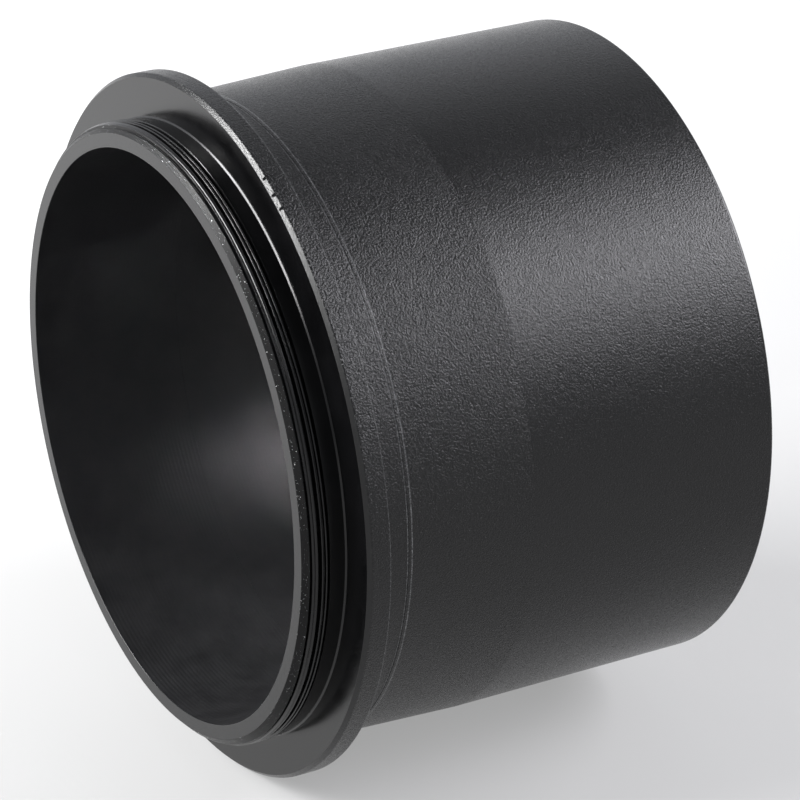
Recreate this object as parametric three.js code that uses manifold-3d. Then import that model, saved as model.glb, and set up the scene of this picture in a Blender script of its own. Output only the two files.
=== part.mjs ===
// Two-inch Barlow lens with a flanged M48 camera thread, lying on its side.
// The optical axis runs along +X: camera thread at the low end, sky end at the high end.
// Stations are distances along the axis from the camera-thread face, in millimetres.

import * as THREE from 'three';
import { mergeVertices } from 'three/addons/utils/BufferGeometryUtils.js';
import Module from 'manifold-3d';

const wasm = await Module();
wasm.setup();

// ---------------------------------------------------------------- driving dimensions

const BARREL_RADIUS = 25.4;          // two-inch barrel, 50.8 mm across
const OVERALL_LENGTH = 38.57;
const BORE_RADIUS = 22.2;
const FLANGE_RADIUS = 27.22;
const THREAD_PITCH = 0.75;           // M48 x 0.75, the two-inch filter thread
const THREAD_HALF_ANGLE = THREE.MathUtils.degToRad(30);
const SIDES = 40;                    // flats round every turned piece, one facing straight down
const FIT_GAP = 0.05;                // clearance between pieces that seat on each other

// Camera thread ring: male thread, neck with a fillet, flange, rear collar and spigot
const FACE_OUTER_RADIUS = 23.35;
const THREAD_CREST_RADIUS = 24.0;
const THREAD_ROOT_RADIUS = 23.67;
const THREAD_START = 0.5;
const THREAD_END = 2.0;
const CAMERA_GROOVE_START = -0.49;   // the groove's helix begins ahead of the face, so it runs in
const NECK_RADIUS = 23.93;
const NECK_FILLET = 0.4;
const FLANGE_FRONT = 3.33;
const FLANGE_REAR = 5.15;
const FLANGE_EDGE_CHAMFER = 0.3;
const COLLAR_RADIUS = 24.95;
const COLLAR_END = 7.72;
const SPIGOT_RADIUS = 23.7;
const SPIGOT_END = 12.4;

// Barrel: reverse taper behind the collar, then the plain two-inch cylinder
const BARREL_START = COLLAR_END + FIT_GAP;
const TAPER_START_RADIUS = 24.99;
const TAPER_END = 18.06;
const SEAM_CHAMFER = 0.12;
const REAR_EDGE_CHAMFER = 0.3;
const SOCKET_RADIUS = SPIGOT_RADIUS + FIT_GAP;
const CELL_LEDGE = 23.2;

// Female thread at the sky end, which holds the lens cell and takes a filter
const FEMALE_CREST_RADIUS = 23.66;
const FEMALE_ROOT_RADIUS = 24.15;
const FEMALE_RELIEF_START = 31.0;
const FEMALE_RELIEF_END = 32.0;
const MOUTH_CHAMFER = 0.6;
const THREAD_RUNOUT = 0.4;           // how far a thread cutter runs past the end of its thread
const CUTTER_OVERLAP = 0.08;         // how far a thread cutter stands outside the crests
const FEMALE_GROOVE_START = FEMALE_RELIEF_END - 0.3;
const MALE_GROOVE_START = FEMALE_GROOVE_START - THREAD_PITCH / 2;   // half a pitch off, so the threads mesh

// Lens cell
const CELL_START = CELL_LEDGE + FIT_GAP;
const CELL_END = 35.55;
const CELL_PILOT_RADIUS = 23.5;
const CELL_CREST_RADIUS = 23.88;
const CELL_ROOT_RADIUS = 23.4;
const CELL_RELIEF_RADIUS = 23.35;
const CELL_RELIEF_START = 30.8;
const CELL_THREAD_START = 31.9;
const CELL_THREAD_LEAD = 0.3;
const CELL_LIP = 0.8;
const CELL_LIP_RADIUS = 18.9;
const CELL_CHAMFER = 0.5;
const SPANNER_SLOT_WIDTH = 1.6;
const SPANNER_SLOT_DEPTH = 1.0;

// Air-spaced negative doublet
const GLASS_RADIUS = 20.0;
const GLASS_POCKET_RADIUS = GLASS_RADIUS + 0.1;   // the cell turns round the glass, corners included
const CROWN_CAMERA_CURVE = 95;       // radius of the surface facing the camera
const INNER_CURVE = 55;              // both surfaces beside the air gap
const FLINT_SKY_CURVE = 170;
const CROWN_CENTRE_THICKNESS = 1.5;
const FLINT_CENTRE_THICKNESS = 4.2;
const AIR_GAP = 0.3;
const SPACER_THICKNESS = 0.2;
const SPACER_INNER_RADIUS = 18.9;
const LENS_STEPS = 6;
const FILLET_STEPS = 4;

// Cushion and retaining ring
const CUSHION_THICKNESS = 0.5;       // at its outer edge
const CUSHION_INNER_RADIUS = 18.9;
const RING_RADIUS = 20.7;
const RING_INNER_RADIUS = 18.9;
const RING_POCKET_RADIUS = RING_RADIUS + FIT_GAP;
const RING_SETBACK = 0.3;            // the ring sits this far inside the cell's end face
const RING_BEVEL = 0.5;

const RING_SLOT_WIDTH = 1.2;
const RING_SLOT_DEPTH = 0.6;

// Glare stop in front of the cell
const STOP_START = 22.0;
const STOP_LENGTH = 1.1;
const STOP_RADIUS = BORE_RADIUS - FIT_GAP;
const STOP_APERTURE_RADIUS = 19.2;
const STOP_EDGE = 0.15;

const MERGE_TOLERANCE = 0.002;       // flat triangles closer than this are merged after a cut

// ---------------------------------------------------------------- finishes

function finish(color, roughness, metalness) {
  return new THREE.MeshStandardMaterial({ color, roughness, metalness });
}

const blackAnodised = finish(0x17181b, 0.55, 0.6);
const innerBlack = finish(0x0e0e10, 0.8, 0.4);
const ringBlack = finish(0x1c1d20, 0.5, 0.6);
const coatedGlass = finish(0x6f8f86, 0.05, 0.0);
const blackFoil = finish(0x202022, 0.6, 0.2);
const cushionPolymer = finish(0x121212, 0.9, 0.0);

// ---------------------------------------------------------------- turned solids

// Flats, not corners, lie on the stated radius, so a flat faces straight down.
const FLAT_TO_CORNER = 1 / Math.cos(Math.PI / SIDES);
const FIRST_CORNER = Math.PI / SIDES;

function toManifold(geometry) {
  const bare = geometry.clone();
  bare.deleteAttribute('normal');
  bare.deleteAttribute('uv');
  const merged = mergeVertices(bare, 1e-5);
  const mesh = new wasm.Mesh({
    numProp: 3,
    vertProperties: new Float32Array(merged.attributes.position.array),
    triVerts: new Uint32Array(merged.index.array),
  });
  return new wasm.Manifold(mesh);
}

function toGeometry(solid) {
  const mesh = solid.simplify(MERGE_TOLERANCE).getMesh();
  const geometry = new THREE.BufferGeometry();
  geometry.setAttribute('position', new THREE.BufferAttribute(mesh.vertProperties, 3));
  geometry.setIndex(new THREE.BufferAttribute(mesh.triVerts, 1));
  geometry.computeVertexNormals();
  return geometry;
}

// An outline is a list of [station, radius] that goes round the section once.
// A solid section starts and ends on the axis, and any other one closes on itself.
function turned(outline) {
  const points = outline.map(([station, radius]) => new THREE.Vector2(radius * FLAT_TO_CORNER, station));
  const onAxis = outline[0][1] === 0;
  if (THREE.ShapeUtils.area(points) < 0) points.reverse();
  if (!onAxis) points.push(points[0].clone());
  return toManifold(new THREE.LatheGeometry(points, SIDES, FIRST_CORNER));
}

// A closed V-shaped ribbon wound as a right-hand helix, used to cut a thread groove.
function threadCutter(start, end, tipRadius, baseRadius) {
  const halfWidth = Math.abs(baseRadius - tipRadius) * Math.tan(THREAD_HALF_ANGLE);
  const steps = Math.ceil(((end - start) / THREAD_PITCH) * SIDES);
  const positions = [];
  for (let step = 0; step <= steps; step += 1) {
    const angle = FIRST_CORNER + (step / SIDES) * 2 * Math.PI;
    const centre = start + (step / SIDES) * THREAD_PITCH;
    const corners = [[centre - halfWidth, baseRadius], [centre + halfWidth, baseRadius], [centre, tipRadius]];
    for (const [station, radius] of corners) {
      const reach = radius * FLAT_TO_CORNER;
      positions.push(reach * Math.sin(angle), station, reach * Math.cos(angle));
    }
  }
  const faces = [0, 1, 2];
  for (let step = 0; step < steps; step += 1) {
    for (let side = 0; side < 3; side += 1) {
      const here = step * 3 + side;
      const beside = step * 3 + ((side + 1) % 3);
      faces.push(here, here + 3, beside, beside, here + 3, beside + 3);
    }
  }
  const last = steps * 3;
  faces.push(last, last + 2, last + 1);
  const geometry = new THREE.BufferGeometry();
  geometry.setAttribute('position', new THREE.Float32BufferAttribute(positions, 3));
  const inward = tipRadius < baseRadius;
  geometry.setIndex(inward ? faces : faces.reverse());
  return toManifold(geometry);
}

function cutMaleThread(solid, start, end, rootRadius, crestRadius) {
  return solid.subtract(threadCutter(start, end, rootRadius, crestRadius + CUTTER_OVERLAP));
}

function cutFemaleThread(solid, start, end, rootRadius, crestRadius) {
  return solid.subtract(threadCutter(start, end, rootRadius, crestRadius - CUTTER_OVERLAP));
}

// Two radial slots across an end face, for the pins of a lens spanner.
function cutSpannerSlots(solid, endStation, outerRadius, width, depth) {
  const slot = new THREE.BoxGeometry(outerRadius * 3, depth * 2, width);
  slot.translate(0, endStation, 0);
  return solid.subtract(toManifold(slot));
}

// Points of a spherical lens surface from one radius to another, counted from its vertex.
// A positive bulge leans the rim towards the sky end.
function lensArc(vertex, curve, bulge, fromRadius, toRadius) {
  const points = [];
  for (let step = 0; step <= LENS_STEPS; step += 1) {
    const radius = fromRadius + ((toRadius - fromRadius) * step) / LENS_STEPS;
    points.push([vertex + bulge * sag(curve, radius), radius]);
  }
  return points;
}

function sag(curve, radius) {
  return curve - Math.sqrt(curve * curve - radius * radius);
}

// ---------------------------------------------------------------- the pieces

// Points of the concave quarter round between the neck and the flange's front face.
function neckFillet() {
  const points = [];
  for (let step = 0; step <= FILLET_STEPS; step += 1) {
    const turn = (step / FILLET_STEPS) * (Math.PI / 2);
    const station = FLANGE_FRONT - NECK_FILLET * (1 - Math.sin(turn));
    points.push([station, NECK_RADIUS + NECK_FILLET * (1 - Math.cos(turn))]);
  }
  return points;
}

function cameraThreadRing() {
  const outline = [
    [0, BORE_RADIUS], [0, FACE_OUTER_RADIUS],
    [THREAD_START, THREAD_CREST_RADIUS], [THREAD_END, THREAD_CREST_RADIUS],
    [THREAD_END, NECK_RADIUS], ...neckFillet(),
    [FLANGE_FRONT, FLANGE_RADIUS - FLANGE_EDGE_CHAMFER],
    [FLANGE_FRONT + FLANGE_EDGE_CHAMFER, FLANGE_RADIUS],
    [FLANGE_REAR - SEAM_CHAMFER, FLANGE_RADIUS], [FLANGE_REAR, FLANGE_RADIUS - SEAM_CHAMFER],
    [FLANGE_REAR, COLLAR_RADIUS],
    [COLLAR_END - SEAM_CHAMFER, COLLAR_RADIUS], [COLLAR_END, COLLAR_RADIUS - SEAM_CHAMFER],
    [COLLAR_END, SPIGOT_RADIUS],
    [SPIGOT_END - SEAM_CHAMFER, SPIGOT_RADIUS], [SPIGOT_END, SPIGOT_RADIUS - SEAM_CHAMFER],
    [SPIGOT_END, BORE_RADIUS],
  ];
  const solid = turned(outline);
  return cutMaleThread(solid, CAMERA_GROOVE_START, THREAD_END, THREAD_ROOT_RADIUS, THREAD_CREST_RADIUS);
}

function barrel() {
  const socketEnd = SPIGOT_END + FIT_GAP;
  const rearEdge = BARREL_RADIUS - REAR_EDGE_CHAMFER;
  const outline = [
    [BARREL_START, SOCKET_RADIUS],
    [BARREL_START, TAPER_START_RADIUS - SEAM_CHAMFER],
    [BARREL_START + SEAM_CHAMFER, TAPER_START_RADIUS],
    [TAPER_END, BARREL_RADIUS],
    [OVERALL_LENGTH - REAR_EDGE_CHAMFER, BARREL_RADIUS], [OVERALL_LENGTH, rearEdge],
    [OVERALL_LENGTH, FEMALE_ROOT_RADIUS + SEAM_CHAMFER],
    [OVERALL_LENGTH - MOUTH_CHAMFER, FEMALE_CREST_RADIUS],
    [FEMALE_RELIEF_END, FEMALE_CREST_RADIUS],
    [FEMALE_RELIEF_END, FEMALE_ROOT_RADIUS], [FEMALE_RELIEF_START, FEMALE_ROOT_RADIUS],
    [FEMALE_RELIEF_START, FEMALE_CREST_RADIUS],
    [CELL_LEDGE, FEMALE_CREST_RADIUS], [CELL_LEDGE, BORE_RADIUS],
    [socketEnd, BORE_RADIUS], [socketEnd, SOCKET_RADIUS],
  ];
  const solid = turned(outline);
  const threadEnd = OVERALL_LENGTH + THREAD_RUNOUT;
  return cutFemaleThread(solid, FEMALE_GROOVE_START, threadEnd, FEMALE_ROOT_RADIUS, FEMALE_CREST_RADIUS);
}

// Stations of the stack inside the cell, from the seat lip to the retaining ring
const SEAT = CELL_START + CELL_LIP;
const CROWN_VERTEX = SEAT + FIT_GAP + sag(CROWN_CAMERA_CURVE, GLASS_RADIUS);
const CROWN_INNER_VERTEX = CROWN_VERTEX + CROWN_CENTRE_THICKNESS;
const FLINT_INNER_VERTEX = CROWN_INNER_VERTEX + AIR_GAP;
const FLINT_VERTEX = FLINT_INNER_VERTEX + FLINT_CENTRE_THICKNESS;
const FLINT_RIM = FLINT_VERTEX + sag(FLINT_SKY_CURVE, GLASS_RADIUS);
const CUSHION_START = FLINT_RIM + FIT_GAP;
const RING_START = CUSHION_START + CUSHION_THICKNESS + FIT_GAP;
const RING_END = CELL_END - RING_SETBACK;

function lensCell() {
  const outline = [
    [CELL_START, CELL_LIP_RADIUS], [CELL_START, CELL_PILOT_RADIUS],
    [CELL_RELIEF_START, CELL_PILOT_RADIUS], [CELL_RELIEF_START, CELL_RELIEF_RADIUS],
    [CELL_THREAD_START, CELL_RELIEF_RADIUS], [CELL_THREAD_START + CELL_THREAD_LEAD, CELL_CREST_RADIUS],
    [CELL_END - CELL_CHAMFER, CELL_CREST_RADIUS], [CELL_END, CELL_CREST_RADIUS - CELL_CHAMFER],
    [CELL_END, RING_POCKET_RADIUS], [RING_START, RING_POCKET_RADIUS],
    [RING_START, GLASS_POCKET_RADIUS], [SEAT, GLASS_POCKET_RADIUS], [SEAT, CELL_LIP_RADIUS],
  ];
  const solid = turned(outline);
  const threadEnd = CELL_END + THREAD_RUNOUT;
  const threaded = cutMaleThread(solid, MALE_GROOVE_START, threadEnd, CELL_ROOT_RADIUS, CELL_CREST_RADIUS);
  return cutSpannerSlots(threaded, CELL_END, CELL_CREST_RADIUS, SPANNER_SLOT_WIDTH, SPANNER_SLOT_DEPTH);
}

function crownElement() {
  const cameraSide = lensArc(CROWN_VERTEX, CROWN_CAMERA_CURVE, -1, 0, GLASS_RADIUS);
  const innerSide = lensArc(CROWN_INNER_VERTEX, INNER_CURVE, 1, GLASS_RADIUS, 0);
  return turned([...cameraSide, ...innerSide]);
}

function flintElement() {
  const innerSide = lensArc(FLINT_INNER_VERTEX, INNER_CURVE, 1, 0, GLASS_RADIUS);
  const skySide = lensArc(FLINT_VERTEX, FLINT_SKY_CURVE, 1, GLASS_RADIUS, 0);
  return turned([...innerSide, ...skySide]);
}

function airSpacer() {
  const slack = (AIR_GAP - SPACER_THICKNESS) / 2;
  const crownFace = CROWN_INNER_VERTEX + slack;
  const flintFace = FLINT_INNER_VERTEX - slack;
  const outer = GLASS_RADIUS - FIT_GAP;
  return turned([
    [crownFace + sag(INNER_CURVE, SPACER_INNER_RADIUS), SPACER_INNER_RADIUS],
    [crownFace + sag(INNER_CURVE, outer), outer],
    [flintFace + sag(INNER_CURVE, outer), outer],
    [flintFace + sag(INNER_CURVE, SPACER_INNER_RADIUS), SPACER_INNER_RADIUS],
  ]);
}

function cushionRing() {
  const outer = GLASS_RADIUS - FIT_GAP;
  const end = CUSHION_START + CUSHION_THICKNESS;
  const innerStart = FLINT_VERTEX + sag(FLINT_SKY_CURVE, CUSHION_INNER_RADIUS) + FIT_GAP;
  return turned([
    [innerStart, CUSHION_INNER_RADIUS], [CUSHION_START, outer], [end, outer], [end, CUSHION_INNER_RADIUS],
  ]);
}

function retainingRing() {
  const ring = turned([
    [RING_START + FIT_GAP, RING_INNER_RADIUS], [RING_START + FIT_GAP, RING_RADIUS],
    [RING_END - SEAM_CHAMFER, RING_RADIUS], [RING_END, RING_RADIUS - SEAM_CHAMFER],
    [RING_END, RING_INNER_RADIUS + RING_BEVEL], [RING_END - RING_BEVEL, RING_INNER_RADIUS],
  ]);
  return cutSpannerSlots(ring, RING_END, RING_RADIUS, RING_SLOT_WIDTH, RING_SLOT_DEPTH);
}

function glareStop() {
  return turned([
    [STOP_START, STOP_RADIUS], [STOP_START + STOP_LENGTH, STOP_RADIUS],
    [STOP_START + STOP_LENGTH, STOP_APERTURE_RADIUS],
    [STOP_START + STOP_LENGTH - STOP_EDGE, STOP_APERTURE_RADIUS],
    [STOP_START, STOP_APERTURE_RADIUS + STOP_LENGTH],
  ]);
}

// ---------------------------------------------------------------- assembly

// Every piece is turned about +Y, and the whole group is then laid along +X.
const barlow = new THREE.Group();
barlow.rotation.z = -Math.PI / 2;
barlow.position.set(-OVERALL_LENGTH / 2, 0, FLANGE_RADIUS);

function add(name, solid, material) {
  const mesh = new THREE.Mesh(toGeometry(solid), material);
  mesh.name = name;
  barlow.add(mesh);
}

add('camera_thread_ring', cameraThreadRing(), blackAnodised);
add('barrel', barrel(), blackAnodised);
add('glare_stop', glareStop(), innerBlack);
add('lens_cell', lensCell(), blackAnodised);
add('crown_element', crownElement(), coatedGlass);
add('air_spacer', airSpacer(), blackFoil);
add('flint_element', flintElement(), coatedGlass);
add('cushion_ring', cushionRing(), cushionPolymer);
add('retaining_ring', retainingRing(), ringBlack);

export default barlow;
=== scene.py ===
"""A two-inch Barlow lens lying on its side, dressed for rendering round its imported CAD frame.

Lengths in this file are millimetres, or metres for the floor, lights and camera. A station is the
distance along the optical axis from the camera-thread face, and an angle goes round that axis from
+Y over the top, in degrees.
"""
import math

import bpy
import numpy as np
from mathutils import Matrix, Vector


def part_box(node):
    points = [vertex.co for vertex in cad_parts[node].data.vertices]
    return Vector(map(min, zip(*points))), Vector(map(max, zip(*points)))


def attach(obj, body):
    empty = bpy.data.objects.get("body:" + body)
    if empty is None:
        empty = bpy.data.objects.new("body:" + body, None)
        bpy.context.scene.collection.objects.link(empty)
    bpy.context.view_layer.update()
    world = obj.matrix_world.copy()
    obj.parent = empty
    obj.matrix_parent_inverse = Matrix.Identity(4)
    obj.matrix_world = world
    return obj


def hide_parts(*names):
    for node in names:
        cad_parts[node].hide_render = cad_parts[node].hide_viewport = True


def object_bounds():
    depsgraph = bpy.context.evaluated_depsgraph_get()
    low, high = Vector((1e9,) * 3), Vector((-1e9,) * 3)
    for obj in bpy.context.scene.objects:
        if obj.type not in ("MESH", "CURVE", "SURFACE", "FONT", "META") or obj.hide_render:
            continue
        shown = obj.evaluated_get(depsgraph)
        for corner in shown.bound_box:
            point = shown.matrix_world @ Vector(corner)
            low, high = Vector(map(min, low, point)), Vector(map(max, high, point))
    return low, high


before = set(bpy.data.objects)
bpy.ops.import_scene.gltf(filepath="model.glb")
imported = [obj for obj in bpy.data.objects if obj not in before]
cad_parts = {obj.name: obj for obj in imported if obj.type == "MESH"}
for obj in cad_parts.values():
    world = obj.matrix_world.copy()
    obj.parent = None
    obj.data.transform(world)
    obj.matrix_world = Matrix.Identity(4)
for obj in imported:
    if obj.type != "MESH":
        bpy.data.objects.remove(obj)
cad_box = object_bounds()

# ---------------------------------------------------------------- sizes taken from the frame

MM = 0.001
FACE_X = cad_box[0][0]                        # world x of station 0
AXIS_Z = (cad_box[0][2] + cad_box[1][2]) / 2  # height of the optical axis


def span(node):
    """First station, last station and outer radius of a CAD node."""
    low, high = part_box(node)
    return (low.x - FACE_X) / MM, (high.x - FACE_X) / MM, (high.z - AXIS_Z) / MM


LENGTH = span("barrel")[1]
BARREL_START = span("barrel")[0]
FLANGE_RADIUS = span("camera_thread_ring")[2]
SPIGOT_END = span("camera_thread_ring")[1]
CELL_START, CELL_END, CELL_CREST = span("lens_cell")
STOP_START, STOP_END, STOP_RADIUS = span("glare_stop")
CUSHION_END = span("cushion_ring")[1]
RING_START, RING_END, RING_RADIUS = span("retaining_ring")

# ---------------------------------------------------------------- design sizes

PITCH = 0.75                     # M48 x 0.75
FIT_GAP = 0.05                   # clearance between pieces that seat on each other

# Bore
BORE = 22.2
BORE_RIDGE_PITCH = 0.33
BORE_RIDGE_STEP = BORE_RIDGE_PITCH / 4
RING_RIDGE_DEPTH = 0.0055        # of the ridges in the thread ring
BARREL_RIDGE_DEPTH = 0.002       # of the ridges further in
RIDGE_LEAST = 0.2                # share of that depth above the axis
RIDGE_SWELL = 1.3                # share added towards the bottom of the bore

# Camera thread
FACE_OUTER = 23.33
LEAD_IN = ((0.46, 23.83), (0.88, 24.0))   # the entry chamfer, which eases over on to the crests
LEAD_IN_STEP = 0.02              # between the rows of the chamfer's mesh
LEAD_IN_SHIFT = 0.12             # how far the first turn of the groove crowds inwards
LEAD_IN_SHIFT_END = 0.62
LEAD_IN_SHIFT_FADE = 0.08
THREAD_CREST = 24.0
THREAD_END = 1.95
THREAD_RUN_OUT = 0.05            # from the last crest down to the neck
THREAD_STEP = 0.018              # between the rows of the thread's mesh
DEEP_GROOVE = 0.42
DEEP_GROOVE_HALF_WIDTH = 0.14
SHALLOW_GROOVE = 0.2             # at its deepest; it grows from a tenth of that
SHALLOW_GROOVE_HALF_WIDTH = 0.085
SHALLOW_GROOVE_START = 0.5
SHALLOW_GROOVE_GROWTH = 0.8      # the length over which it grows
CREST_OFFSETS = (0.215, 0.535)   # from the deep groove to the crests beside the shallow one
CREST_DROPS = (0.04, 0.028)      # how far each crest falls away at its shoulders
CREST_HALF_WIDTH = 0.075
CAMERA_GROOVE_STATION = 0.81     # of a deep groove at angle 0, to the whole pitch

# Neck, flange, collar and spigot
NECK = 23.87
NECK_CONE = 0.11                 # leg of the small cone where the neck meets the flange
FLANGE_FRONT = 3.33
FLANGE_REAR = 5.15
FLANGE_CHAMFER = 0.3
NICK_REACH = 0.2                 # how far a nick reaches in from the flange's edge
NICK_END = FLANGE_FRONT + FLANGE_CHAMFER + 0.15
NICK_STEP = 0.06                 # between the rows of mesh that the nicks bend
EDGE_NICKS = ((115.3, 0.32, 0.16), (118.7, 0.36, 0.2), (121.4, 0.3, 0.14))  # angle, half width, depth
COLLAR = 24.95
COLLAR_END = BARREL_START - 0.002
SPIGOT = 23.7
SOCKET = SPIGOT + 0.02
SOCKET_END = SPIGOT_END + 0.004
SEAM_EDGE = 0.006                # radius of the edges on either side of the seam
SEAM_BAND = 0.22                 # the plain band between the seam and the start of the taper
WORN_WIDTH = 0.1                 # width of the worn lines beside the edges

# Barrel
BARREL_RADIUS = 25.4
TAPER_START = 24.99
TAPER_END = 18.06
CELL_LEDGE = CELL_START - FIT_GAP
FEMALE_CREST = 23.66
FEMALE_ROOT = 24.1
FEMALE_RELIEF_START = 31.0
FEMALE_RELIEF_END = 32.0
FEMALE_GROOVE_STATION = 31.7     # of a groove at the top, where the CAD model's cutter starts
MOUTH_RADIUS = FEMALE_ROOT + 0.1
MOUTH_CHAMFER = 0.5
MOUTH_CHAMFER_STEP = 0.05
MOUTH_THREAD_STEP = 0.075
V_GROOVE_HALF_WIDTH = 0.28       # of the mouth's thread and of the cell's

# Lens cell
CELL_PILOT = 23.5
CELL_ROOT = 23.42
CELL_RELIEF = CELL_ROOT - 0.07
CELL_RELIEF_START = 30.8
CELL_THREAD_START = 31.9
CELL_THREAD_LEAD = 0.4
CELL_THREAD_STEP = 0.05
CELL_CHAMFER = 0.45
CELL_LIP = 0.8
CELL_SLOT = (1.6, 1.0)           # width and depth of the spanner slots in the cell's end
SLOT_WALL = (-0.1, 0.0, 0.02, 0.12)   # degrees from a slot's half angle to the columns at its wall
SLOT_SLACK = 0.01                # degrees, so that the column on the wall counts as in the slot

# Glass, stop and rings
CLEAR_RADIUS = 18.9
GLASS_RADIUS = 20.0
GLASS_POCKET = 20.1
CROWN_CAMERA_CURVE = 95.0
INNER_CURVE = 55.0
FLINT_SKY_CURVE = 170.0
CROWN_THICKNESS = 1.5
AIR_GAP = 0.3
FLINT_THICKNESS = 4.2
STOP_APERTURE = 19.2
STOP_EDGE = 0.15                 # thickness of the edge round the stop's opening
STOP_BEVEL = 1.1
RING_BEVEL = 0.5
RING_SLOT = (1.2, 0.6)           # width and depth of the slots in the retaining ring

COLUMNS = 240                    # flats round a turned piece, before the extra ones


# ---------------------------------------------------------------- turned meshes

def corner(station, radius, bend=0.0, finish=0, step=None, relief=None):
    """A corner of an outline, rounded by bend. finish, step and relief belong to the run after it."""
    return {"at": np.array([station, radius], float), "bend": bend,
            "finish": finish, "step": step, "relief": relief}


def section(corners, closed=True):
    """Rows of an outline: stations, radii, the finish of the run after each row, and its relief."""
    rows = []
    count = len(corners)
    for index, this in enumerate(corners):
        before = corners[index - 1]
        after = corners[(index + 1) % count]
        if not closed and index in (0, count - 1):
            arc = [this["at"]]
        else:
            arc = round_corner(before["at"], this["at"], after["at"], this["bend"])
        for point in arc:
            rows.append((point, this["finish"], this["relief"]))
        start = arc[-1]
        if not closed and index == count - 1:
            break
        if not closed and index + 1 == count - 1:
            end = after["at"]
        else:
            beyond = corners[(index + 2) % count]
            end = round_corner(this["at"], after["at"], beyond["at"], after["bend"])[0]
        length = float(np.linalg.norm(end - start))
        if this["step"] and length > this["step"]:
            parts = math.ceil(length / this["step"])
            for part in range(1, parts):
                rows.append((start + (end - start) * part / parts, this["finish"], this["relief"]))
    return rows


def round_corner(before, at, after, bend):
    """Points of the arc that rounds a corner, in steps of about 12 degrees."""
    if bend <= 0:
        return [at]
    back = (before - at) / np.linalg.norm(before - at)
    ahead = (after - at) / np.linalg.norm(after - at)
    opening = math.acos(max(-1.0, min(1.0, float(back @ ahead))))
    turn = math.pi - opening
    if turn < 0.02:
        return [at]
    reach = bend / math.tan(opening / 2)
    centre = at + (back + ahead) / np.linalg.norm(back + ahead) * bend / math.sin(opening / 2)
    first = at + back * reach - centre
    last = at + ahead * reach - centre
    steps = max(2, math.ceil(math.degrees(turn) / 12))
    points = []
    for step in range(steps + 1):
        share = step / steps
        mix = (math.sin((1 - share) * turn) * first + math.sin(share * turn) * last) / math.sin(turn)
        points.append(centre + mix)
    return points


def lens_surface(vertex, curve, lean, from_radius, to_radius, steps=20):
    """Corners along a spherical surface. A lean of 1 carries the rim towards the sky end, -1 away."""
    radii = np.linspace(from_radius, to_radius, steps)
    return [corner(vertex + lean * sag(curve, radius), radius) for radius in radii]


def sag(curve, radius):
    """How far a spherical surface has fallen away from its vertex at a radius."""
    return curve - math.sqrt(curve * curve - radius * radius)


def turned(name, corners, finishes, columns=None, on_axis=False, slots=None):
    """A closed mesh turned about the optical axis, with its normals weighted by face area.

    slots is the half angle and the floor station of two spanner slots, at angles 0 and 180. It
    sets the columns itself.
    """
    rows = section(corners, closed=not on_axis)
    if slots:
        half_angle, floor_station = slots
        walls = [side * (half_angle + along) for side in (-1, 1) for along in SLOT_WALL]
        columns = even_columns(middle + wall for middle in (0, 180) for wall in walls)
    elif columns is None:
        columns = even_columns()
    angles = np.radians(columns)
    grid = np.zeros((len(rows), len(angles), 3))
    for index, ((station, radius), _, relief) in enumerate(rows):
        reach = np.full(len(angles), radius)
        if relief and radius > 0:
            reach = relief(station, radius, np.degrees(angles))
        grid[index, :, 0] = FACE_X + station * MM
        grid[index, :, 1] = reach * MM * np.cos(angles)
        grid[index, :, 2] = AXIS_Z + reach * MM * np.sin(angles)
    if slots:
        in_slot = across_slots(columns, half_angle)
        grid[:, in_slot, 0] = np.minimum(grid[:, in_slot, 0], FACE_X + floor_station * MM)
    return mesh_from_grid(name, grid, [row[1] for row in rows], finishes, on_axis)


def even_columns(extra=()):
    """Angles of even columns and of some extra ones, in order."""
    angles = {round(angle, 4) for angle in np.linspace(0, 360, COLUMNS, endpoint=False)}
    return np.array(sorted(angles | {round(angle % 360, 4) for angle in extra}))


def slot_half_angle(width):
    """Half the angle that a slot takes up where it meets the outside of the retaining ring."""
    return math.degrees(math.asin(width / 2 / RING_RADIUS))


def across_slots(angles, half_angle):
    """Which angles lie within one of the two slots, at angles 0 and 180."""
    return np.abs((angles + 90) % 180 - 90) < half_angle + SLOT_SLACK


def mesh_from_grid(name, grid, row_finishes, finishes, on_axis):
    """A mesh object whose quads join each row of the grid to the next, wound to face outwards."""
    rows, columns, _ = grid.shape
    index = np.arange(rows * columns).reshape(rows, columns)
    if on_axis:
        index[0, :] = index[0, 0]
        index[-1, :] = index[-1, 0]
    here = index[:-1] if on_axis else index
    there = index[1:] if on_axis else np.roll(index, -1, axis=0)
    sides = [here, there, np.roll(there, -1, axis=1), np.roll(here, -1, axis=1)]
    quads = np.stack(sides, -1).reshape(-1, 4)
    points = grid.reshape(-1, 3)
    if enclosed(points - points.mean(axis=0), quads) < 0:
        quads = quads[:, ::-1]
    used, quads = np.unique(quads, return_inverse=True)
    faces = quads.reshape(-1, 4).tolist()
    if on_axis:
        faces = [list(dict.fromkeys(face)) for face in faces]
    mesh = bpy.data.meshes.new(name)
    mesh.from_pydata(points[used].tolist(), [], faces)
    for finish in finishes:
        mesh.materials.append(finish)
    mesh.polygons.foreach_set("material_index", np.repeat(row_finishes, columns)[:len(faces)])
    mesh.shade_smooth()
    mesh.update()
    weight_normals(mesh)
    piece = bpy.data.objects.new(name, mesh)
    bpy.context.scene.collection.objects.link(piece)
    return piece


def enclosed(points, quads):
    """Six times the volume inside the faces, negative if they are wound inwards."""
    a, b, c, d = (points[quads[:, side]] for side in range(4))
    return float(np.sum(a * (np.cross(b, c) + np.cross(c, d))))


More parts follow.
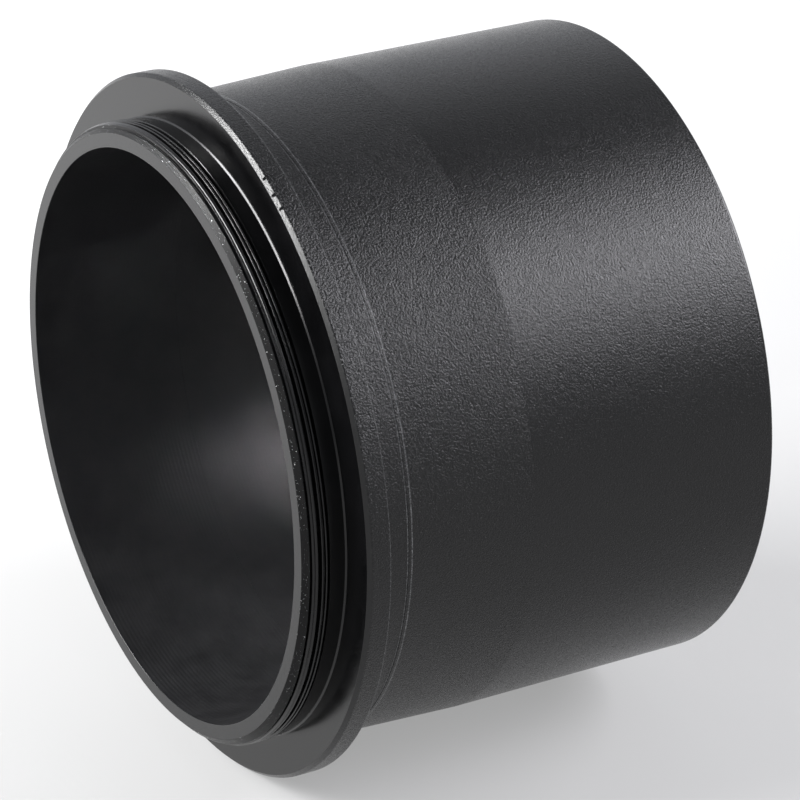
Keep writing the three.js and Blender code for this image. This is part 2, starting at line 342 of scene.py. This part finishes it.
def weight_normals(mesh):
    """Vertex normals averaged by face area, so a rounded edge doesn't shade the flat beside it."""
    count = len(mesh.polygons)
    normals = np.zeros(count * 3)
    areas = np.zeros(count)
    sides = np.zeros(count, int)
    vertices = np.zeros(len(mesh.loops), int)
    mesh.polygons.foreach_get("normal", normals)
    mesh.polygons.foreach_get("area", areas)
    mesh.polygons.foreach_get("loop_total", sides)
    mesh.loops.foreach_get("vertex_index", vertices)
    weighted = np.repeat(normals.reshape(-1, 3) * areas[:, None], sides, axis=0)
    total = np.zeros((len(mesh.vertices), 3))
    np.add.at(total, vertices, weighted)
    lengths = np.linalg.norm(total, axis=1, keepdims=True)
    mesh.normals_split_custom_set_from_vertices((total / np.maximum(lengths, 1e-20)).tolist())


def place(piece, body, slot, *nodes):
    """Hang a piece on its body, in the place of the CAD nodes that it replaces."""
    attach(piece, body)
    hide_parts(*nodes)


# ---------------------------------------------------------------- reliefs: threads, ridges and nicks

def helix_offset(station, angles, groove_station):
    """Distance along the axis to the nearest groove of a right-hand helix."""
    turns = (station - groove_station - PITCH * angles / 360) / PITCH
    return (turns - np.round(turns)) * PITCH


def limited(share, least=0.0):
    """A share, kept between least and 1."""
    return min(1.0, max(least, share))


def groove_depth(offset, depth, half_width):
    """Depth of a groove with sloping flanks and a flat floor half as wide as its mouth."""
    return depth * np.clip(2 - 2 * np.abs(offset) / half_width, 0, 1)


def camera_thread(station, radius, angles):
    """A deep groove each pitch, a shallow one midway between, and rounded crests beside them."""
    crowding = LEAD_IN_SHIFT * limited((LEAD_IN_SHIFT_END - station) / LEAD_IN_SHIFT_FADE)
    offset = helix_offset(station - crowding, angles, CAMERA_GROOVE_STATION)
    middle = helix_offset(station, angles, CAMERA_GROOVE_STATION + PITCH / 2)
    shallow = SHALLOW_GROOVE * limited((station - SHALLOW_GROOVE_START) / SHALLOW_GROOVE_GROWTH, 0.1)
    cut = np.maximum(groove_depth(offset, DEEP_GROOVE, DEEP_GROOVE_HALF_WIDTH),
                     groove_depth(middle, shallow, SHALLOW_GROOVE_HALF_WIDTH))
    falls = []
    for along, drop in zip(CREST_OFFSETS, CREST_DROPS):
        from_crest = helix_offset(station, angles, CAMERA_GROOVE_STATION + along)
        falls.append(drop * (from_crest / CREST_HALF_WIDTH) ** 2)
    cut = np.minimum(np.maximum(cut, np.minimum(*falls)), DEEP_GROOVE)
    return np.minimum(radius, THREAD_CREST - cut)


def v_groove(station, angles, groove_station):
    """How deep a V groove is at a place, from 0 at its crests to 1 at its root."""
    offset = helix_offset(station, angles - 90, groove_station)
    return np.clip(1 - np.abs(offset) / V_GROOVE_HALF_WIDTH, 0, 1)


def bore_ridges(depth):
    """The fine helix that the boring tool leaves, deepest underneath."""
    def relief(station, radius, angles):
        swell = RIDGE_LEAST + RIDGE_SWELL * np.clip(-np.sin(np.radians(angles)), 0, 1) ** 2
        turns = station / BORE_RIDGE_PITCH - angles / 360
        return radius + depth * swell * np.cos(2 * math.pi * turns)
    return relief


def nicked(station, radius, angles):
    """Three small V nicks in the outer edge of the flange's front chamfer."""
    reach = np.full(len(angles), radius)
    outward = limited((radius - FLANGE_RADIUS + NICK_REACH) / NICK_REACH)
    for nick_angle, nick_width, nick_depth in EDGE_NICKS:
        inside = np.clip(1 - np.abs(angles - nick_angle) / nick_width, 0, 1)
        reach -= nick_depth * inside * outward
    return reach


def edge_columns():
    """Even columns, with extra ones where the flange edge is nicked."""
    shares = (-1.0, -0.66, -0.33, 0.0, 0.33, 0.66, 1.0)
    return even_columns(angle + share * width for angle, width, _ in EDGE_NICKS for share in shares)


# ---------------------------------------------------------------- node materials

class Shader:
    """A material's node tree, with one short call for each kind of node."""

    def __init__(self, name):
        self.material = bpy.data.materials.new(name)
        self.material.use_nodes = True
        self.tree = self.material.node_tree
        self.tree.nodes.clear()
        self.surface = self.node("ShaderNodeBsdfPrincipled")
        output = self.node("ShaderNodeOutputMaterial")
        self.join(self.surface.outputs["BSDF"], output.inputs["Surface"])

    def node(self, kind, **settings):
        made = self.tree.nodes.new(kind)
        for key, value in settings.items():
            setattr(made, key, value)
        return made

    def join(self, source, target):
        if hasattr(source, "links"):
            self.tree.links.new(source, target)
        else:
            target.default_value = source

    def set(self, **values):
        for key, value in values.items():
            self.join(value, self.surface.inputs[key.replace("_", " ")])

    def math(self, operation, first, second=0.0, third=0.0):
        made = self.node("ShaderNodeMath", operation=operation)
        for socket, value in zip(made.inputs, (first, second, third)):
            self.join(value, socket)
        return made.outputs[0]

    def place(self):
        """Object coordinates, in metres."""
        return self.node("ShaderNodeTexCoord").outputs["Object"]

    def around(self):
        """Station and radius in millimetres, and the angle round the axis in degrees."""
        parts = self.node("ShaderNodeSeparateXYZ")
        self.join(self.place(), parts.inputs[0])
        station = self.math("MULTIPLY", self.math("SUBTRACT", parts.outputs[0], FACE_X), 1 / MM)
        across = self.math("MULTIPLY", parts.outputs[1], 1 / MM)
        up = self.math("MULTIPLY", self.math("SUBTRACT", parts.outputs[2], AXIS_Z), 1 / MM)
        radius = self.math("SQRT", self.math("ADD", self.math("MULTIPLY", across, across),
                                             self.math("MULTIPLY", up, up)))
        angle = self.math("MULTIPLY", self.math("ARCTAN2", up, across), 180 / math.pi)
        return station, radius, angle

    def noise(self, size, detail=2.0, roughness=0.5, vector=None):
        """Noise whose features are about size millimetres across."""
        made = self.node("ShaderNodeTexNoise")
        self.join(self.place() if vector is None else vector, made.inputs["Vector"])
        made.inputs["Scale"].default_value = 1 / (size * MM)
        made.inputs["Detail"].default_value = detail
        made.inputs["Roughness"].default_value = roughness
        return made.outputs["Fac"]

    def lines(self, along, size):
        """One-dimensional noise along a length in millimetres: turning marks."""
        made = self.node("ShaderNodeTexNoise", noise_dimensions="1D")
        self.join(along, made.inputs["W"])
        made.inputs["Scale"].default_value = 1 / size
        made.inputs["Detail"].default_value = 3.0
        return made.outputs["Fac"]

    def ramp(self, value, low, high, out_low=0.0, out_high=1.0):
        made = self.node("ShaderNodeMapRange", clamp=True)
        for socket, number in zip(made.inputs, (value, low, high, out_low, out_high)):
            self.join(number, socket)
        return made.outputs[0]

    def bump(self, height, depth, strength=1.0, under=None):
        """A bump whose height of 0 to 1 stands for depth millimetres."""
        made = self.node("ShaderNodeBump")
        made.inputs["Strength"].default_value = strength
        made.inputs["Distance"].default_value = depth * MM
        self.join(height, made.inputs["Height"])
        if under is not None:
            self.join(under, made.inputs["Normal"])
        return made.outputs["Normal"]

    def mix_colour(self, share, first, second):
        made = self.node("ShaderNodeMix", data_type="RGBA")
        self.join(share, made.inputs[0])
        for socket, value in zip(made.inputs[6:8], (first, second)):
            self.join(value if hasattr(value, "links") else (*value, 1.0), socket)
        return made.outputs[2]


def grey(level):
    return (level, level, level)


ANODISED = (0.0008, 0.0008, 0.0009)
ANODISED_WORN = (0.0016, 0.0016, 0.0018)
ALUMINIUM = (0.82, 0.83, 0.84)
# Shades of the bore: the cloud between them is random, but their paleness over the outer anodise is
# painted light, standing in for light that doesn't reach into the bore
BORE_DARK_WITH_PAINTED_LIGHT = (0.006, 0.006, 0.0065)
BORE_PALE_WITH_PAINTED_LIGHT = (0.018, 0.018, 0.019)
ANODISED_IOR = 1.376
TORN_IOR = 1.25                  # of the torn lead-in chamfer, which reflects less


def blasted_anodise(name, grain, depth, roughness):
    """Bead-blasted black anodise: a fine pebbled skin with a soft sheen."""
    shader = Shader(name)
    pebbles = shader.noise(grain, detail=2.0, roughness=0.6)
    cloud = shader.noise(6.0, detail=3.0)
    sheen = shader.ramp(cloud, 0.3, 0.7, -0.015, 0.015)
    grit = shader.ramp(pebbles, 0.3, 0.7, roughness - 0.065, roughness + 0.065)
    shader.set(Base_Color=shader.mix_colour(cloud, ANODISED, ANODISED_WORN), IOR=ANODISED_IOR,
               Roughness=shader.math("ADD", grit, sheen), Normal=shader.bump(pebbles, depth))
    return shader.material


def turned_anodise(name, roughness, mottle=ANODISED_WORN, mottle_size=3.0):
    """Black anodise over a lathe-turned surface, with faint concentric tool marks."""
    shader = Shader(name)
    station, radius, _ = shader.around()
    tool = shader.lines(shader.math("ADD", station, radius), 0.06)
    skin = shader.noise(0.09, detail=2.0)
    cloud = shader.noise(mottle_size, detail=3.0)
    fine = shader.bump(skin, 0.0012)
    shader.set(Base_Color=shader.mix_colour(shader.ramp(cloud, 0.35, 0.65), ANODISED, mottle),
               IOR=ANODISED_IOR,
               Roughness=shader.ramp(cloud, 0.3, 0.7, roughness - 0.02, roughness + 0.03),
               Normal=shader.bump(tool, 0.0004, under=fine))
    return shader.material


def worn_anodise():
    """Blasted anodise along an exposed edge, rubbed through to specks of bright metal."""
    shader = Shader("worn_anodise")
    grit = shader.noise(0.12, detail=3.0, roughness=0.6)
    bare = shader.ramp(grit, 0.4, 0.7, 0.02, 0.16)
    shader.set(Base_Color=shader.mix_colour(bare, ANODISED_WORN, ALUMINIUM), IOR=ANODISED_IOR,
               Metallic=bare, Roughness=shader.ramp(grit, 0.3, 0.7, 0.28, 0.38),
               Normal=shader.bump(grit, 0.02))
    return shader.material


def dulling(shader, low, high, start, end):
    """A roughness that rises from low to high between two angles, and falls back underneath."""
    _, _, angle = shader.around()
    turn = shader.math("MULTIPLY", shader.math("LESS_THAN", angle, 0.0), 360.0)
    angle = shader.math("ADD", angle, turn)
    return shader.math("MINIMUM", shader.ramp(angle, start, end, low, high),
                       shader.ramp(angle, 190.0, 240.0, high, low))


def chipped_chamfer():
    """The lead-in chamfer: torn, chipped to bright metal in places, and dull on the near side."""
    shader = Shader("chipped_chamfer")
    torn = shader.noise(0.1, detail=3.0, roughness=0.6)
    bare = shader.math("GREATER_THAN", torn, 0.69)
    dull = dulling(shader, 0.34, 0.75, 110.0, 134.0)
    shader.set(Base_Color=shader.mix_colour(bare, ANODISED, ALUMINIUM), IOR=TORN_IOR,
               Metallic=shader.math("MULTIPLY", bare, 0.6),
               Roughness=shader.math("ADD", dull, shader.ramp(torn, 0.3, 0.7, -0.08, 0.12)),
               Normal=shader.bump(torn, 0.03))
    return shader.material


def rubbed_chamfer():
    """The flange's front chamfer, polished by handling over the top and duller on the near side."""
    shader = Shader("rubbed_chamfer")
    grit = shader.noise(0.15, detail=3.0, roughness=0.6)
    dull = dulling(shader, 0.25, 0.42, 122.0, 136.0)
    shader.set(Base_Color=shader.mix_colour(grit, ANODISED, ANODISED_WORN), IOR=ANODISED_IOR,
               Roughness=shader.math("ADD", dull, shader.ramp(grit, 0.3, 0.7, -0.04, 0.06)),
               Normal=shader.bump(grit, 0.022))
    return shader.material


def bored_anodise_painted_light():
    """The duller anodise inside the bore, clouded along the tool's path. Its greys are partly painted
    light: they are paler than the outer anodise, to stand in for light that doesn't reach into the
    bore.
    """
    shader = Shader("bored_anodise_painted_light")
    station, _, _ = shader.around()
    tool = shader.lines(station, 0.12)
    skin = shader.noise(0.15, detail=2.0)
    cloud = shader.noise(2.5, detail=4.0, roughness=0.6)
    # painted light: the bore's pale greys brighten it in place of light that doesn't reach inside
    shader.set(Base_Color=shader.mix_colour(cloud, BORE_DARK_WITH_PAINTED_LIGHT, BORE_PALE_WITH_PAINTED_LIGHT),
               IOR=ANODISED_IOR, Roughness=shader.ramp(cloud, 0.3, 0.7, 0.3, 0.4),
               Normal=shader.bump(tool, 0.002, under=shader.bump(skin, 0.006)))
    return shader.material


def dull_skin(name, size, dark, pale, smoothest, roughest):
    """A dull black skin: its shade, roughness and height all follow one noise of this size."""
    shader = Shader(name)
    tooth = shader.noise(size, detail=3.0)
    shader.set(Base_Color=shader.mix_colour(tooth, grey(dark), grey(pale)),
               Roughness=shader.ramp(tooth, 0.3, 0.7, smoothest, roughest),
               Normal=shader.bump(tooth, 0.01))
    return shader.material


def coated_glass(name, tint):
    """Optical glass with a multi-layer coating, which tints only what it reflects."""
    shader = Shader(name)
    haze = shader.noise(4.0, detail=4.0)
    shader.set(Base_Color=(0.99, 0.995, 0.99, 1.0), Transmission_Weight=1.0, IOR=1.52,
               Specular_Tint=(*tint, 1.0), Roughness=shader.ramp(haze, 0.45, 0.8, 0.0, 0.012))
    return shader.material


def table_top():
    """A grey table top whose own glow turns it white, most of all behind the camera-thread end."""
    shader = Shader("table_top")
    cloud = shader.noise(30.0, detail=3.0)
    parts = shader.node("ShaderNodeSeparateXYZ")
    shader.join(shader.place(), parts.inputs[0])
    behind = shader.math("ADD", shader.math("MULTIPLY", parts.outputs[0], -0.485),
                         shader.math("MULTIPLY", parts.outputs[1], 0.875))
    shader.set(Base_Color=shader.mix_colour(cloud, grey(0.2), grey(0.21)), Roughness=0.9,
               Emission_Color=(1.0, 1.0, 1.0, 1.0),
               Emission_Strength=shader.ramp(behind, 0.0, 0.12, 0.34, 0.76))
    return shader.material


# The finishes of the metal pieces, by their place in METAL
BLASTED, FINE_BLASTED, MACHINED, BORED, CHIPPED, THREADED, WORN, FACED, RUBBED = range(9)
METAL = (
    blasted_anodise("blasted_anodise", grain=0.15, depth=0.085, roughness=0.27),
    blasted_anodise("fine_blasted_anodise", grain=0.14, depth=0.05, roughness=0.255),
    turned_anodise("turned_anodise", roughness=0.19),
    bored_anodise_painted_light(),
    chipped_chamfer(),
    turned_anodise("threaded_anodise", roughness=0.26),
    worn_anodise(),
    turned_anodise("faced_anodise", roughness=0.19, mottle=(0.004, 0.004, 0.0043), mottle_size=0.2),
    rubbed_chamfer(),
)
MATT_BLACK = dull_skin("matt_black", 0.08, 0.004, 0.008, 0.75, 0.9)
CUSHION_POLYMER = dull_skin("cushion_polymer", 0.2, 0.008, 0.014, 0.7, 0.85)
BLACK_FOIL = dull_skin("black_foil", 0.6, 0.01, 0.018, 0.4, 0.55)
CROWN_COATING = coated_glass("crown_coating", (0.7, 1.0, 0.85))
FLINT_COATING = coated_glass("flint_coating", (0.75, 1.0, 0.9))


# ---------------------------------------------------------------- the pieces

def camera_thread_ring():
    corners = [
        corner(0, BORE, 0.05, FACED),
        corner(0, FACE_OUTER, 0.05, CHIPPED, step=LEAD_IN_STEP, relief=camera_thread),
        corner(*LEAD_IN[0], 0, THREADED, step=THREAD_STEP, relief=camera_thread),
        corner(*LEAD_IN[1], 0, THREADED, step=THREAD_STEP, relief=camera_thread),
        corner(THREAD_END, THREAD_CREST, 0.006, THREADED),
        corner(THREAD_END + THREAD_RUN_OUT, NECK, 0.02, MACHINED),
        corner(FLANGE_FRONT - NECK_CONE, NECK, 0.04, THREADED),
        corner(FLANGE_FRONT, NECK + NECK_CONE, 0.04, MACHINED),
        corner(FLANGE_FRONT, FLANGE_RADIUS - FLANGE_CHAMFER, 0.04, RUBBED, step=NICK_STEP,
               relief=nicked),
        corner(FLANGE_FRONT + FLANGE_CHAMFER, FLANGE_RADIUS, 0.15, BLASTED, relief=nicked),
        corner(NICK_END, FLANGE_RADIUS, 0, BLASTED),
        corner(FLANGE_REAR - WORN_WIDTH, FLANGE_RADIUS, 0, WORN),
        corner(FLANGE_REAR, FLANGE_RADIUS, 0.07, BLASTED),
        corner(FLANGE_REAR, COLLAR, 0.1, BLASTED),
        corner(COLLAR_END - WORN_WIDTH, COLLAR, 0, WORN),
        corner(COLLAR_END, COLLAR, SEAM_EDGE, MACHINED),
        corner(COLLAR_END, SPIGOT, 0.03, MACHINED),
        corner(SPIGOT_END, SPIGOT, 0.1, MACHINED),
        corner(SPIGOT_END, BORE, 0.005, BORED, step=BORE_RIDGE_STEP,
               relief=bore_ridges(RING_RIDGE_DEPTH)),
    ]
    piece = turned("camera_thread_ring_turned", corners, METAL, columns=edge_columns())
    place(piece, "body", "thread_ring", "camera_thread_ring")


def barrel():
    def mouth_thread(station, radius, angles):
        depth = v_groove(station, angles, FEMALE_GROOVE_STATION) * (FEMALE_ROOT - FEMALE_CREST)
        return np.maximum(radius, FEMALE_CREST + depth)

    corners = [
        corner(BARREL_START, SOCKET, 0.02, MACHINED),
        corner(BARREL_START, TAPER_START, SEAM_EDGE, BLASTED),
        corner(BARREL_START + SEAM_BAND, TAPER_START, 0, WORN),
        corner(BARREL_START + SEAM_BAND + WORN_WIDTH, TAPER_START, 0, BLASTED, step=1.0),
        corner(TAPER_END, BARREL_RADIUS, 5.0, FINE_BLASTED, step=2.0),
        corner(LENGTH, BARREL_RADIUS, 0.25, MACHINED),
        corner(LENGTH, MOUTH_RADIUS, 0.05, MACHINED, step=MOUTH_CHAMFER_STEP, relief=mouth_thread),
        corner(LENGTH - MOUTH_CHAMFER, FEMALE_CREST, 0, MACHINED, step=MOUTH_THREAD_STEP,
               relief=mouth_thread),
        corner(FEMALE_RELIEF_END, FEMALE_CREST, 0, MACHINED, relief=mouth_thread),
        corner(FEMALE_RELIEF_END, FEMALE_ROOT, 0.05, MACHINED),
        corner(FEMALE_RELIEF_START, FEMALE_ROOT, 0.05, MACHINED),
        corner(FEMALE_RELIEF_START, FEMALE_CREST, 0.02, MACHINED),
        corner(CELL_LEDGE, FEMALE_CREST, 0.02, MACHINED),
        corner(CELL_LEDGE, BORE, 0.02, BORED, step=BORE_RIDGE_STEP,
               relief=bore_ridges(BARREL_RIDGE_DEPTH)),
        corner(SOCKET_END, BORE, 0.005, MACHINED),
        corner(SOCKET_END, SOCKET, 0.02, MACHINED),
    ]
    place(turned("barrel_turned", corners, METAL), "body", "barrel", "barrel")


def glare_stop():
    corners = [
        corner(STOP_START, STOP_RADIUS, 0.05),
        corner(STOP_END, STOP_RADIUS, 0.05),
        corner(STOP_END, STOP_APERTURE, 0.03),
        corner(STOP_END - STOP_EDGE, STOP_APERTURE, 0.03),
        corner(STOP_START, STOP_APERTURE + STOP_BEVEL, 0.05),
    ]
    place(turned("glare_stop_turned", corners, [MATT_BLACK]), "body", "inner_black", "glare_stop")


def lens_cell():
    slot_width, slot_depth = CELL_SLOT
    half_angle = slot_half_angle(slot_width)
    slot_floor = CELL_END - slot_depth

    def cell_thread(station, radius, angles):
        share = v_groove(station, angles, FEMALE_GROOVE_STATION + PITCH / 2)
        slotted = across_slots(angles, half_angle) & (station > slot_floor)
        depth = np.where(slotted, 1.0, share) * (CELL_CREST - CELL_ROOT)
        return np.minimum(radius, CELL_CREST - depth)

    corners = [
        corner(CELL_START, CLEAR_RADIUS, 0.1, MACHINED),
        corner(CELL_START, CELL_PILOT, 0.15, MACHINED),
        corner(CELL_RELIEF_START, CELL_PILOT, 0.05, MACHINED),
        corner(CELL_RELIEF_START, CELL_RELIEF, 0.05, MACHINED),
        corner(CELL_THREAD_START, CELL_RELIEF, 0, MACHINED, step=CELL_THREAD_STEP,
               relief=cell_thread),
        corner(CELL_THREAD_START + CELL_THREAD_LEAD, CELL_CREST, 0, MACHINED,
               step=CELL_THREAD_STEP, relief=cell_thread),
        corner(CELL_END - CELL_CHAMFER, CELL_CREST, 0, MACHINED,
               step=CELL_THREAD_STEP, relief=cell_thread),
        corner(CELL_END, CELL_CREST - CELL_CHAMFER, 0.05, MACHINED),
        corner(CELL_END, RING_RADIUS + FIT_GAP, 0.1, MACHINED),
        corner(RING_START - FIT_GAP, RING_RADIUS + FIT_GAP, 0.03, MACHINED),
        corner(RING_START - FIT_GAP, GLASS_POCKET, 0.03, MACHINED),
        corner(CELL_START + CELL_LIP, GLASS_POCKET, 0.05, MACHINED),
        corner(CELL_START + CELL_LIP, CLEAR_RADIUS, 0.1, MACHINED),
    ]
    piece = turned("lens_cell_turned", corners, METAL, slots=(half_angle, slot_floor))
    place(piece, "cell", "cell", "lens_cell")


# Vertices of the four lens surfaces, from the seat lip towards the sky
CROWN_VERTEX = CELL_START + CELL_LIP + FIT_GAP + sag(CROWN_CAMERA_CURVE, GLASS_RADIUS)
CROWN_INNER = CROWN_VERTEX + CROWN_THICKNESS
FLINT_INNER = CROWN_INNER + AIR_GAP
FLINT_VERTEX = FLINT_INNER + FLINT_THICKNESS


def lens_elements():
    crown = lens_surface(CROWN_VERTEX, CROWN_CAMERA_CURVE, -1, 0, GLASS_RADIUS)
    crown += lens_surface(CROWN_INNER, INNER_CURVE, 1, GLASS_RADIUS, 0)
    crown_piece = turned("crown_element_glass", crown, [CROWN_COATING], on_axis=True)
    place(crown_piece, "optics", "crown_glass", "crown_element")
    flint = lens_surface(FLINT_INNER, INNER_CURVE, 1, 0, GLASS_RADIUS)
    flint += lens_surface(FLINT_VERTEX, FLINT_SKY_CURVE, 1, GLASS_RADIUS, 0)
    flint_piece = turned("flint_element_glass", flint, [FLINT_COATING], on_axis=True)
    place(flint_piece, "optics", "flint_glass", "flint_element")


def spacer_and_cushion():
    outer = GLASS_RADIUS - FIT_GAP
    spacer = [corner(CROWN_INNER + FIT_GAP + sag(INNER_CURVE, radius), radius)
              for radius in (CLEAR_RADIUS, outer)]
    spacer += [corner(FLINT_INNER - FIT_GAP + sag(INNER_CURVE, radius), radius)
               for radius in (outer, CLEAR_RADIUS)]
    place(turned("air_spacer_foil", spacer, [BLACK_FOIL]), "optics", "spacer_foil", "air_spacer")
    cushion = [
        corner(FLINT_VERTEX + sag(FLINT_SKY_CURVE, CLEAR_RADIUS) + FIT_GAP, CLEAR_RADIUS, 0.05),
        corner(FLINT_VERTEX + sag(FLINT_SKY_CURVE, GLASS_RADIUS) + FIT_GAP, outer, 0.05),
        corner(CUSHION_END, outer, 0.1),
        corner(CUSHION_END, CLEAR_RADIUS, 0.1),
    ]
    cushion_piece = turned("cushion_ring_moulded", cushion, [CUSHION_POLYMER])
    place(cushion_piece, "optics", "cushion", "cushion_ring")


def retaining_ring():
    corners = [
        corner(RING_START, CLEAR_RADIUS, 0.05, MACHINED),
        corner(RING_START, RING_RADIUS, 0.08, MACHINED),
        corner(RING_END, RING_RADIUS, 0.08, MACHINED),
        corner(RING_END, CLEAR_RADIUS + RING_BEVEL, 0.05, MACHINED),
        corner(RING_END - RING_BEVEL, CLEAR_RADIUS, 0.05, MACHINED),
    ]
    slot_width, slot_depth = RING_SLOT
    slots = (slot_half_angle(slot_width), RING_END - slot_depth)
    piece = turned("retaining_ring_turned", corners, METAL, slots=slots)
    place(piece, "cell", "ring_black", "retaining_ring")


# ---------------------------------------------------------------- floor, lights and camera, in metres

OBJECT_CENTRE = Vector((0.0, 0.0, AXIS_Z))
LAMP_DISTANCE = 0.6
FLOOR_HALF = 3.0
CAMERA_PLACE = (-0.131174, -0.239513, 0.156008)
CAMERA_AZIMUTH = -29.011
CAMERA_ELEVATION = 25.474
CAMERA_LENS = 175.466            # focal length in millimetres
CAMERA_SHIFT = 0.000625          # half a pixel, to the left and upwards


def floor():
    size = FLOOR_HALF
    mesh = bpy.data.meshes.new("floor")
    corners = [(-size, -size, 0), (size, -size, 0), (size, size, 0), (-size, size, 0)]
    mesh.from_pydata(corners, [], [(0, 1, 2, 3)])
    mesh.materials.append(table_top())
    piece = bpy.data.objects.new("floor", mesh)
    bpy.context.scene.collection.objects.link(piece)


def softbox(name, azimuth, elevation, width, height, radiance, colour):
    """An area light that covers width by height degrees, seen from the object."""
    turn, rise = math.radians(azimuth), math.radians(elevation)
    towards = Vector((math.cos(turn) * math.cos(rise), math.sin(turn) * math.cos(rise), math.sin(rise)))
    lamp = bpy.data.lights.new(name, "AREA")
    lamp.shape = "RECTANGLE"
    lamp.size = 2 * LAMP_DISTANCE * math.tan(math.radians(width / 2))
    lamp.size_y = 2 * LAMP_DISTANCE * math.tan(math.radians(height / 2))
    lamp.energy = radiance * math.pi * lamp.size * lamp.size_y
    lamp.color = colour
    holder = bpy.data.objects.new(name, lamp)
    holder.location = OBJECT_CENTRE + towards * LAMP_DISTANCE
    holder.rotation_euler = towards.to_track_quat("Z", "Y").to_euler()
    bpy.context.scene.collection.objects.link(holder)


def surroundings():
    """White surroundings, with a darker ceiling and a dark wall beyond the camera-thread end."""
    world = bpy.data.worlds.new("white_surroundings")
    world.use_nodes = True
    tree = world.node_tree
    background = tree.nodes["Background"]
    background.inputs["Color"].default_value = (0.93, 0.95, 1.0, 1.0)
    direction = tree.nodes.new("ShaderNodeTexCoord")
    parts = tree.nodes.new("ShaderNodeSeparateXYZ")
    tree.links.new(direction.outputs["Generated"], parts.inputs[0])

    def fade(source, *limits):
        made = tree.nodes.new("ShaderNodeMapRange")
        tree.links.new(source, made.inputs[0])
        for socket, value in zip(made.inputs[1:5], limits):
            socket.default_value = value
        return made.outputs[0]

    def combine(operation, first, second):
        made = tree.nodes.new("ShaderNodeMath")
        made.operation = operation
        tree.links.new(first, made.inputs[0])
        tree.links.new(second, made.inputs[1])
        return made.outputs[0]

    ceiling = fade(parts.outputs[2], 0.55, 0.85, 0.86, 0.38)
    dark_wall = combine("MAXIMUM", fade(parts.outputs[0], -0.93, -0.75, 0.3, 1.0),
                        fade(parts.outputs[2], 0.38, 0.5, 0.3, 1.0))
    tree.links.new(combine("MULTIPLY", ceiling, dark_wall), background.inputs["Strength"])
    bpy.context.scene.world = world


def camera():
    azimuth, elevation = math.radians(CAMERA_AZIMUTH), math.radians(CAMERA_ELEVATION)
    lens = bpy.data.cameras.new("camera")
    lens.sensor_width = 36.0
    lens.lens = CAMERA_LENS
    lens.clip_start = 0.01
    lens.shift_x = -CAMERA_SHIFT
    lens.shift_y = CAMERA_SHIFT
    holder = bpy.data.objects.new("camera", lens)
    holder.location = CAMERA_PLACE
    holder.rotation_euler = (math.pi / 2 - elevation, 0.0, azimuth)
    bpy.context.scene.collection.objects.link(holder)
    bpy.context.scene.camera = holder


camera_thread_ring()
barrel()
glare_stop()
lens_cell()
lens_elements()
spacer_and_cushion()
retaining_ring()

floor()
surroundings()
softbox("key_softbox", -29.0, 35.0, 36.0, 26.0, 16.8, (0.96, 0.95, 1.0))
softbox("back_softbox", 156.0, 32.5, 46.0, 16.0, 43.0, (1.0, 1.0, 1.0))
camera()
bpy.context.scene.view_settings.view_transform = "Standard"
